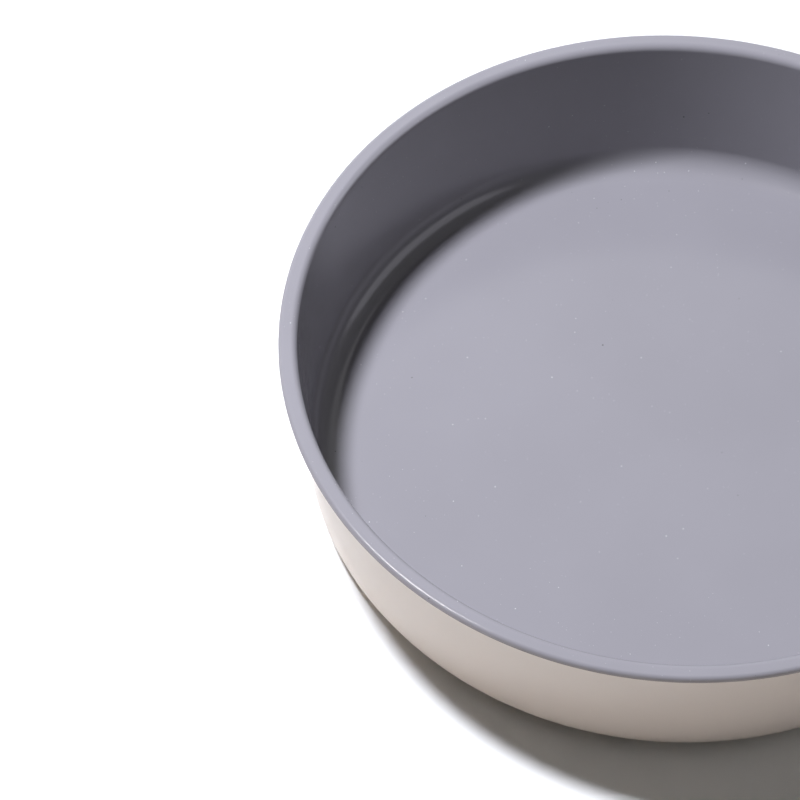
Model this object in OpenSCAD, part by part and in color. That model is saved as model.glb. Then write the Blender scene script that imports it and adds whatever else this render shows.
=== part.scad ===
// Round cake pan, pressed from one steel sheet with its rim rolled over a wire.
// The origin is at the centre of the base, and +Z points up out of the mouth.
// One line, from the middle of the floor to the cut edge of the rim, gives every layer its outline.
// A layer lies between two depths below that line, so each skin sits face to face on the steel.

/* [Pan] */
// Width across the mouth, inside the rim
mouth_d = 228.6; // [200:0.1:260]
// Height from the table to the top of the rim
pan_h = 54; // [40:1:80]
// Lean of the wall outward from upright, in degrees
wall_lean = 4; // [0:0.5:10]
// Radius of the corner between floor and wall, measured inside
corner_r = 8; // [3:0.1:15]

/* [Sheet and coatings] */
// Thickness of the steel sheet
sheet_t = 0.6; // [0.5:0.05:1.2]
// Thickness of the non-stick coating inside and over the rim
nonstick_t = 0.25; // [0.1:0.05:0.4]
// Thickness of the enamel outside and under the base
enamel_t = 0.25; // [0.1:0.05:0.4]

/* [Rolled rim] */
// Diameter of the wire inside the roll
wire_d = 0.9; // [0.8:0.1:2.5]
// Clearance between the wire and the steel around it
wire_gap = 0.05; // [0.02:0.01:0.2]
// Inside radius of the steel's bend at the mouth
lip_bend_r = 1.35; // [0.7:0.05:1.8]
// Turn of the roll from the flat top of the rim to the cut edge, in degrees
roll_turn = 270; // [180:5:270]
// Gap between the roll and the enamel on the wall
hem_gap = 1.9; // [1.5:0.1:3]

/* [Colours] */
// Non-stick coating
nonstick_colour = "#9A99A2";
// Enamel
enamel_colour = "#EAE6E1";
// Bare steel of the sheet
steel_colour = "#B4B6B8";
// Wire
wire_colour = "#8E9194";

/* [Hidden] */
$fn = 180;
// Angle between the points of an arc, in degrees
arc_step = 5;

// Depths below the non-stick surface
steel_in = nonstick_t;
steel_out = steel_in + sheet_t;
wall_t = steel_out + enamel_t;

// The two bends of the rim, at the non-stick surface
mouth_r = mouth_d / 2;
lip_r = steel_out + lip_bend_r;
lip_c = [mouth_r + lip_r, pan_h - lip_r];
roll_r = steel_out + wire_gap + wire_d / 2;
roll_c = [mouth_r + wall_t + hem_gap + roll_r, pan_h - roll_r];

// The corner of the floor, placed so that the leaning wall is tangent to it and to the lip
wall_out = [cos(wall_lean), -sin(wall_lean)];
corner_z = wall_t + corner_r;
corner_x = lip_c.x - (lip_r + corner_r - wall_out.y * (lip_c.y - corner_z)) / wall_out.x;
corner_c = [corner_x, corner_z];

// Points on an arc about a centre, both ends included
function arc(centre, r, from, to) =
    let (steps = ceil(abs(to - from) / arc_step))
    [for (i = [0:steps]) let (a = from + (to - from) * i / steps) centre + r * [cos(a), sin(a)]];

// Floor and corner at a depth, from the axis to the foot of the wall
function cup(depth) =
    concat([[0, wall_t - depth]], arc(corner_c, corner_r + depth, -90, -wall_lean));

// Bend from the top of the wall to the flat top of the rim, at a depth
function lip(depth) = arc(lip_c, lip_r - depth, 180 - wall_lean, 90);

// Roll at a depth, from the flat top of the rim to the cut edge
function roll(depth) = arc(roll_c, roll_r - depth, 90, 90 - roll_turn);

// The whole outline at a depth
function outline(depth) = concat(cup(depth), lip(depth), roll(depth));

function backwards(points) = [for (i = [len(points) - 1:-1:0]) points[i]];

// Turns the layer between two lines about the pan's axis
module layer(inner, outer) {
    rotate_extrude() polygon(concat(inner, backwards(outer)));
}

// Steel from the floor to the cut edge inside the roll
module pan_shell() {
    color(steel_colour)
        layer(outline(steel_in), outline(steel_out));
}

// Hoop of wire that the rim is rolled over
module rim_wire() {
    color(wire_colour)
        rotate_extrude() translate(roll_c) circle(d = wire_d);
}

// Grey skin on the floor, the wall and all of the rim
module inner_coating() {
    color(nonstick_colour)
        layer(outline(0), outline(steel_in));
}

// Cream skin under the base, up the wall and round the underside of the lip
module outer_coating() {
    color(enamel_colour)
        layer(concat(cup(steel_out), lip(steel_out)), concat(cup(wall_t), lip(wall_t)));
}

pan_shell();
rim_wire();
inner_coating();
outer_coating();
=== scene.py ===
"""Looks of the round cake pan: fine skins over the CAD frame, the studio and the camera."""

import math

import bpy
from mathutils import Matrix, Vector


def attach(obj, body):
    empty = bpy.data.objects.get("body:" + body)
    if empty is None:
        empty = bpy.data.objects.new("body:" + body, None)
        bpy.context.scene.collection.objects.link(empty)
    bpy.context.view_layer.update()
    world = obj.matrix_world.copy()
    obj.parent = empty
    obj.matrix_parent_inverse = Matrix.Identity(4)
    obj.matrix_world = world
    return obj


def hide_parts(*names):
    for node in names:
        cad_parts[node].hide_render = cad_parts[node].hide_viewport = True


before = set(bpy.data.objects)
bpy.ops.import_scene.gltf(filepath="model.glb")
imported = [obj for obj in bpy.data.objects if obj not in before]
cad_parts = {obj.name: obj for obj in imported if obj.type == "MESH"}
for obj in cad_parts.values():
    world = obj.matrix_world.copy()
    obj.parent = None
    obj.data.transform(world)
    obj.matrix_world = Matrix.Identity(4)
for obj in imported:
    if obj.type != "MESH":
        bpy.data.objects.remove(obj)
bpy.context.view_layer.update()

# One millimetre, in metres
MM = 0.001

# Sizes of the pan, as its source has them
MOUTH_R = 114.3 * MM
PAN_H = 54 * MM
WALL_LEAN = math.radians(4)
CORNER_R = 8 * MM
SHEET_T = 0.6 * MM
NONSTICK_T = 0.25 * MM
ENAMEL_T = 0.25 * MM
WIRE_D = 0.9 * MM
WIRE_GAP = 0.05 * MM
LIP_BEND_R = 1.35 * MM
ROLL_TURN = math.radians(270)
HEM_GAP = 1.9 * MM

# Depths below the non-stick surface
STEEL_IN = NONSTICK_T
STEEL_OUT = STEEL_IN + SHEET_T
WALL_T = STEEL_OUT + ENAMEL_T

# Lip, roll and floor corner: radii at the non-stick surface and centres
LIP_R = STEEL_OUT + LIP_BEND_R
LIP_C = Vector((MOUTH_R + LIP_R, PAN_H - LIP_R))
ROLL_R = STEEL_OUT + WIRE_GAP + WIRE_D / 2
ROLL_C = Vector((MOUTH_R + WALL_T + HEM_GAP + ROLL_R, PAN_H - ROLL_R))
WALL_OUT = Vector((math.cos(WALL_LEAN), -math.sin(WALL_LEAN)))
CORNER_Z = WALL_T + CORNER_R
CORNER_X = LIP_C.x - (LIP_R + CORNER_R - WALL_OUT.y * (LIP_C.y - CORNER_Z)) / WALL_OUT.x
CORNER_C = Vector((CORNER_X, CORNER_Z))

# Parts of a full turn about the pan's axis
SEGMENTS = 420
# Widest angle between the points of an arc
ARC_STEP = math.radians(5)
# Usual distance between the points of a straight line
LINE_STEP = 9 * MM
# Distance of a straight line's first and last points from its ends
END_STEP = 0.3 * MM
# Edges with a wider angle than this stay sharp
SHARP_ANGLE = math.radians(40)
# Slack for rounding in a count of steps
STEP_SLACK = 1e-6
# A point nearer to the axis than this lies on it
ON_AXIS = 1e-9


# Shapes


def arc(centre, r, start, end):
    """Points on an arc about a centre, both ends included."""
    steps = max(1, math.ceil(abs(end - start) / ARC_STEP - STEP_SLACK))
    angles = [start + (end - start) * i / steps for i in range(steps + 1)]
    return [centre + r * Vector((math.cos(a), math.sin(a))) for a in angles]


def straight(start, end):
    """Points between two places on a line, ends left out.

    One point lies close to each end, which keeps the shading of the straight part flat.
    """
    along = end - start
    length = along.length
    steps = max(1, round(length / LINE_STEP))
    close = END_STEP / length
    shares = [i / steps for i in range(1, steps)]
    shares = [close] + [s for s in shares if close * 2 < s < 1 - close * 2] + [1 - close]
    return [start + along * s for s in shares]


def cup(depth):
    """Floor and corner at a depth below the non-stick surface."""
    middle = Vector((0, WALL_T - depth))
    corner = arc(CORNER_C, CORNER_R + depth, -math.pi / 2, -WALL_LEAN)
    return [middle] + straight(middle, corner[0]) + corner


def cup_and_lip(depth):
    """The outline at a depth from the middle of the floor to the end of the lip."""
    low = cup(depth)
    lip = arc(LIP_C, LIP_R - depth, math.pi - WALL_LEAN, math.pi / 2)
    return low + straight(low[-1], lip[0]) + lip


def outline(depth):
    """The whole outline at a depth: floor, corner, wall, lip, flat top and roll."""
    low = cup_and_lip(depth)
    roll = arc(ROLL_C, ROLL_R - depth, math.pi / 2, math.pi / 2 - ROLL_TURN)
    return low + straight(low[-1], roll[0]) + roll


def turned(name, inner, outer):
    """A closed skin between two outlines, turned about the pan's axis."""
    verts = []
    rings = []
    for point in inner + outer[::-1]:
        if point.x < ON_AXIS:
            rings.append([len(verts)])
            verts.append((0, 0, point.y))
            continue
        rings.append(list(range(len(verts), len(verts) + SEGMENTS)))
        for i in range(SEGMENTS):
            a = 2 * math.pi * i / SEGMENTS
            verts.append((point.x * math.cos(a), point.x * math.sin(a), point.y))
    faces = []
    for low, high in zip(rings, rings[1:]):
        for i in range(SEGMENTS):
            j = (i + 1) % SEGMENTS
            if len(low) == 1:
                faces.append((low[0], high[j], high[i]))
            elif len(high) == 1:
                faces.append((low[i], low[j], high[0]))
            else:
                faces.append((low[i], low[j], high[j], high[i]))
    mesh = bpy.data.meshes.new(name)
    mesh.from_pydata(verts, [], faces)
    mesh.polygons.foreach_set("use_smooth", [True] * len(faces))
    mesh.set_sharp_from_angle(angle=SHARP_ANGLE)
    mesh.update()
    piece = bpy.data.objects.new(name, mesh)
    bpy.context.collection.objects.link(piece)
    return piece


# Materials

# Nearly all values of a noise texture lie between these two
NOISE_LOW = 0.3
NOISE_HIGH = 0.7
# Width of a dot's soft edge, as a share of the largest dot's radius
DOT_EDGE = 0.35
# How much darker the streaks of bare steel are, and how far its roughness strays
STREAK_SHADE = 0.82
ROUGHNESS_SWING = 0.06


class Nodes:
    """The node tree of a material or a world, with short calls for its nodes."""

    def __init__(self, owner):
        owner.use_nodes = True
        self.tree = owner.node_tree
        self.shader = self.tree.nodes.get("Principled BSDF")
        self.coordinates = self.add("ShaderNodeTexCoord")
        self.place = self.coordinates.outputs["Object"]

    def add(self, kind, **settings):
        """A new node with its settings."""
        node = self.tree.nodes.new(kind)
        for key, value in settings.items():
            setattr(node, key, value)
        return node

    def feed(self, socket, value):
        """Links a socket to another node, or sets its own value."""
        if isinstance(value, bpy.types.NodeSocket):
            self.tree.links.new(value, socket)
        else:
            socket.default_value = value

    def surface(self, **values):
        """Feeds the surface shader's sockets, named in lower case with underscores."""
        sockets = {s.name.lower().replace(" ", "_"): s for s in self.shader.inputs}
        for name, value in values.items():
            self.feed(sockets[name], value)

    def noise(self, scale, detail=2.0):
        """Soft cloudy noise, scale being the number of clouds to a metre."""
        node = self.add("ShaderNodeTexNoise")
        self.feed(node.inputs["Vector"], self.place)
        self.feed(node.inputs["Scale"], scale)
        self.feed(node.inputs["Detail"], detail)
        return node.outputs["Fac"]

    def calc(self, operation, a, b):
        """One calculation with two values."""
        node = self.add("ShaderNodeMath", operation=operation)
        self.feed(node.inputs[0], a)
        self.feed(node.inputs[1], b)
        return node.outputs[0]

    def span(self, value, low, high, to_low=0.0, to_high=1.0):
        """A value taken smoothly from one range to another, held at both ends."""
        node = self.add("ShaderNodeMapRange", interpolation_type="SMOOTHSTEP")
        for socket, number in zip(node.inputs, (value, low, high, to_low, to_high)):
            self.feed(socket, number)
        return node.outputs["Result"]

    def spread(self, noise, low=0.0, high=1.0):
        """Noise spread over a whole range."""
        return self.span(noise, NOISE_LOW, NOISE_HIGH, low, high)

    def blend(self, share, a, b):
        """Colour a going over to colour b as the share goes from 0 to 1."""
        node = self.add("ShaderNodeMix", data_type="RGBA")
        self.feed(node.inputs["Factor"], share)
        colours = [s for s in node.inputs if s.type == "RGBA"]
        for socket, colour in zip(colours, (a, b)):
            self.feed(socket, colour if isinstance(colour, bpy.types.NodeSocket) else (*colour, 1))
        return [s for s in node.outputs if s.type == "RGBA"][0]

    def dots(self, spacing, radius, kept, cover=1.0):
        """Round dots of up to a radius: one to a cell of the spacing, and only the kept share.

        The cover is how much of the ground a dot hides at its middle.
        """
        cells = self.add("ShaderNodeTexVoronoi")
        self.feed(cells.inputs["Vector"], self.place)
        self.feed(cells.inputs["Scale"], 1 / spacing)
        distance = self.calc("MULTIPLY", cells.outputs["Distance"], spacing)
        split = self.add("ShaderNodeSeparateColor")
        self.feed(split.inputs["Color"], cells.outputs["Color"])
        size = self.calc("MULTIPLY", split.outputs["Green"], radius)
        inside = self.span(self.calc("SUBTRACT", size, distance), 0.0, radius * DOT_EDGE)
        chosen = self.calc("LESS_THAN", split.outputs["Red"], kept)
        return self.calc("MULTIPLY", self.calc("MULTIPLY", inside, chosen), cover)

    def bump(self, height, distance, normal=None):
        """Small relief of a height in metres, laid over another relief if one is given."""
        node = self.add("ShaderNodeBump")
        self.feed(node.inputs["Height"], height)
        self.feed(node.inputs["Distance"], distance)
        if normal is not None:
            self.feed(node.inputs["Normal"], normal)
        return node.outputs["Normal"]

    def seen(self):
        """1 where a thing is seen straight, in a mirror or through glass, 0 where it only lights."""
        path = self.add("ShaderNodeLightPath")
        rays = self.calc("ADD", path.outputs["Is Camera Ray"], path.outputs["Is Glossy Ray"])
        rays = self.calc("ADD", rays, path.outputs["Is Transmission Ray"])
        return self.calc("MINIMUM", rays, 1.0)


def nonstick():
    """Sprayed grey ceramic: satin gloss, a fine orange peel, pale flecks and a few pinholes."""
    material = bpy.data.materials.new("nonstick_ceramic")
    n = Nodes(material)
    cloud = n.spread(n.noise(scale=18, detail=3))
    fine_flecks = n.dots(spacing=1.3 * MM, radius=0.18 * MM, kept=0.4, cover=0.5)
    flecks = n.dots(spacing=2.6 * MM, radius=0.24 * MM, kept=0.36, cover=0.8)
    pinholes = n.dots(spacing=4 * MM, radius=0.3 * MM, kept=0.18)
    colour = n.blend(cloud, (0.297, 0.29, 0.314), (0.309, 0.302, 0.327))
    colour = n.blend(fine_flecks, colour, (0.6, 0.6, 0.63))
    colour = n.blend(flecks, colour, (0.72, 0.72, 0.74))
    colour = n.blend(pinholes, colour, (0.08, 0.075, 0.085))
    roughness = n.spread(n.noise(scale=240), 0.15, 0.2)
    orange_peel = n.bump(n.noise(scale=700, detail=1.5), 0.003 * MM)
    n.surface(base_color=colour, roughness=roughness, ior=1.45, normal=orange_peel)
    return material


def enamel():
    """Cream enamel: satin, with a faint long ripple, a fine grain and rare specks."""
    material = bpy.data.materials.new("cream_enamel")
    n = Nodes(material)
    cloud = n.spread(n.noise(scale=14, detail=3))
    specks = n.dots(spacing=4 * MM, radius=0.2 * MM, kept=0.1)
    colour = n.blend(cloud, (0.815, 0.802, 0.795), (0.83, 0.817, 0.81))
    colour = n.blend(specks, colour, (0.35, 0.32, 0.29))
    roughness = n.spread(n.noise(scale=160), 0.3, 0.36)
    ripple = n.bump(n.noise(scale=120, detail=1), 0.02 * MM)
    grain = n.bump(n.noise(scale=800, detail=1.5), 0.004 * MM, normal=ripple)
    n.surface(base_color=colour, roughness=roughness, ior=1.5, normal=grain)
    return material


def steel(name, colour, roughness):
    """Bare rolled or drawn steel with faint streaks, seen only up inside the roll."""
    material = bpy.data.materials.new(name)
    n = Nodes(material)
    streaks = n.noise(scale=1500, detail=3)
    dark = tuple(c * STREAK_SHADE for c in colour)
    shade = n.blend(n.spread(streaks), colour, dark)
    low = roughness - ROUGHNESS_SWING
    high = roughness + ROUGHNESS_SWING
    uneven = n.spread(n.noise(scale=700), low, high)
    relief = n.bump(streaks, 0.01 * MM)
    n.surface(base_color=shade, roughness=uneven, metallic=1.0, normal=relief)
    return material


def dress(piece, material):
    """Gives a piece its one material."""
    piece.data.materials.clear()
    piece.data.materials.append(material)


# Pieces

nonstick_skin = turned("nonstick_skin", outline(0), outline(STEEL_IN))
dress(nonstick_skin, nonstick())
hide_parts("inner_coating")
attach(nonstick_skin, "root")

enamel_skin = turned("enamel_skin", cup_and_lip(STEEL_OUT), cup_and_lip(WALL_T))
dress(enamel_skin, enamel())
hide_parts("outer_coating")
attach(enamel_skin, "root")

dress(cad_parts["pan_shell"], steel("sheet_steel", (0.5, 0.5, 0.51), 0.38))
dress(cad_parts["rim_wire"], steel("wire_steel", (0.36, 0.36, 0.37), 0.45))


# Studio

# Paper floor: its colour to the eye, its colour in the light that it throws back, and the
# distances from the pan's middle between which it goes over to plain white
FLOOR_SIZE = 6.0
PAPER_SEEN = (0.96, 0.98, 0.965)
PAPER_BOUNCE = (0.87, 0.75, 0.62)
PAPER_ROUGHNESS = 0.9
PAPER_NEAR = 0.2
PAPER_FAR = 0.45

# Main lamp, and the longer and weaker mirror image that glossy surfaces show of it
LAMP_PLACE = Vector((-369, 149, 1000)) * MM
LAMP_SIZE = (135 * MM, 135 * MM)
LAMP_POWER = 14.6
LAMP_COLOUR = (1.0, 1.01, 1.1)
GLINT_SIZE = (135 * MM, 210 * MM)
GLINT_POWER = 0.43 * LAMP_POWER
GLINT_COLOUR = (1.0, 0.97, 0.93)

# Light from all round, and the stronger soft light from one side, whose edge lies between
# two cosines of the angle to its middle
ROOM_LIGHT = 0.03
FILL_LIGHT = 0.32
FILL_SIDE = (0.877, -0.077, 0.469)
FILL_OUTSIDE = 0.75
FILL_INSIDE = 0.95
WORLD_TINT = (1.0, 0.99, 1.0)

# What a mirror shows: a grey room, and a white backdrop at the back, whose soft edge is
# slanted so that it leaves out the right side
ROOM_SEEN = 0.28
BACKDROP_OUTSIDE = 0.3
BACKDROP_INSIDE = 0.4
BACKDROP_SLANT = 0.5

# White card on the right
CARD_PLACE = Vector((1068, -208, 480)) * MM
CARD_SIZE = (1.11, 0.85)
CARD_LIGHT = 1.3
CARD_COLOUR = (0.96, 0.96, 1.06)

# Camera: a full-frame sensor and a long lens, both in millimetres, looking down at the pan
SENSOR_WIDTH = 36
LENS = 166.5
CAMERA_PLACE = Vector((-83.57, -661.46, 940.06)) * MM
CAMERA_DOWN = math.radians(54.246)


def studio_floor():
    """Pale paper that throws back warm light and goes over to plain white far from the pan."""
    bpy.ops.mesh.primitive_plane_add(size=FLOOR_SIZE)
    floor = bpy.context.object
    floor.name = "studio_floor"
    material = bpy.data.materials.new("floor_paper")
    n = Nodes(material)
    seen = n.seen()
    colour = n.blend(seen, PAPER_BOUNCE, PAPER_SEEN)
    grain = n.bump(n.noise(scale=400), 0.02 * MM)
    n.surface(base_color=colour, roughness=PAPER_ROUGHNESS, specular_ior_level=0.0, normal=grain)
    reach = n.add("ShaderNodeVectorMath", operation="LENGTH")
    n.feed(reach.inputs[0], n.place)
    far = n.span(reach.outputs["Value"], PAPER_NEAR, PAPER_FAR)
    mix = n.add("ShaderNodeMixShader")
    n.feed(mix.inputs["Fac"], n.calc("MULTIPLY", far, seen))
    n.feed(mix.inputs[1], n.shader.outputs[0])
    n.feed(mix.inputs[2], n.add("ShaderNodeEmission").outputs[0])
    n.feed(n.tree.nodes["Material Output"].inputs["Surface"], mix.outputs[0])
    dress(floor, material)


def studio_world():
    """Weak light from all round, with a soft fill from the right.

    The world is plain white where it is seen straight. A mirror shows the white backdrop
    behind the pan, and a grey room on the right, overhead and on the camera's side.
    """
    world = bpy.data.worlds.new("studio")
    bpy.context.scene.world = world
    n = Nodes(world)
    direction = n.coordinates.outputs["Generated"]
    side = n.add("ShaderNodeVectorMath", operation="DOT_PRODUCT")
    n.feed(side.inputs[0], direction)
    n.feed(side.inputs[1], FILL_SIDE)
    fill = n.span(side.outputs["Value"], FILL_OUTSIDE, FILL_INSIDE, ROOM_LIGHT, FILL_LIGHT)
    split = n.add("ShaderNodeSeparateXYZ")
    n.feed(split.inputs[0], direction)
    right = n.calc("MAXIMUM", split.outputs["X"], 0.0)
    back = n.calc("SUBTRACT", split.outputs["Y"], n.calc("MULTIPLY", right, BACKDROP_SLANT))
    backdrop = n.span(back, BACKDROP_OUTSIDE, BACKDROP_INSIDE, ROOM_SEEN, 1.0)
    straight_on = n.add("ShaderNodeLightPath").outputs["Is Camera Ray"]
    shown = n.calc("MAXIMUM", straight_on, backdrop)
    seen = n.seen()
    lit = n.calc("MULTIPLY", fill, n.calc("SUBTRACT", 1.0, seen))
    background = n.tree.nodes["Background"]
    n.feed(background.inputs["Strength"], n.calc("ADD", n.calc("MULTIPLY", seen, shown), lit))
    n.feed(background.inputs["Color"], n.blend(seen, WORLD_TINT, (1, 1, 1)))


def area_light(name, shape, size, power, colour, place):
    """A flat light turned to the pan and unseen by the camera."""
    light = bpy.data.lights.new(name, "AREA")
    light.shape = shape
    light.size, light.size_y = size
    light.energy = power
    light.color = colour
    lamp = bpy.data.objects.new(name, light)
    lamp.location = place
    lamp.rotation_euler = (-place).to_track_quat("-Z", "Y").to_euler()
    lamp.visible_camera = False
    bpy.context.collection.objects.link(lamp)
    return lamp


def key_lamp():
    """The main lamp, which shows in no gloss, and its mirror image, which shows in gloss only."""
    lamp = area_light("key_lamp", "ELLIPSE", LAMP_SIZE, LAMP_POWER, LAMP_COLOUR, LAMP_PLACE)
    lamp.visible_glossy = False
    glint = area_light("key_glint", "ELLIPSE", GLINT_SIZE, GLINT_POWER, GLINT_COLOUR, LAMP_PLACE)
    glint.visible_diffuse = False


def white_card():
    """A white card on the right, which shows in gloss only, such as in the floor corner."""
    power = math.pi * CARD_SIZE[0] * CARD_SIZE[1] * CARD_LIGHT
    card = area_light("white_card", "RECTANGLE", CARD_SIZE, power, CARD_COLOUR, CARD_PLACE)
    card.visible_diffuse = False


def camera():
    """The photograph's view: from the front, a little to the left of the pan's middle."""
    lens = bpy.data.cameras.new("camera")
    lens.sensor_width = SENSOR_WIDTH
    lens.lens = LENS
    view = bpy.data.objects.new("camera", lens)
    view.location = CAMERA_PLACE
    view.rotation_euler = (math.pi / 2 - CAMERA_DOWN, 0, 0)
    bpy.context.collection.objects.link(view)
    bpy.context.scene.camera = view


studio_floor()
studio_world()
key_lamp()
white_card()
camera()
bpy.context.scene.view_settings.view_transform = "Standard"
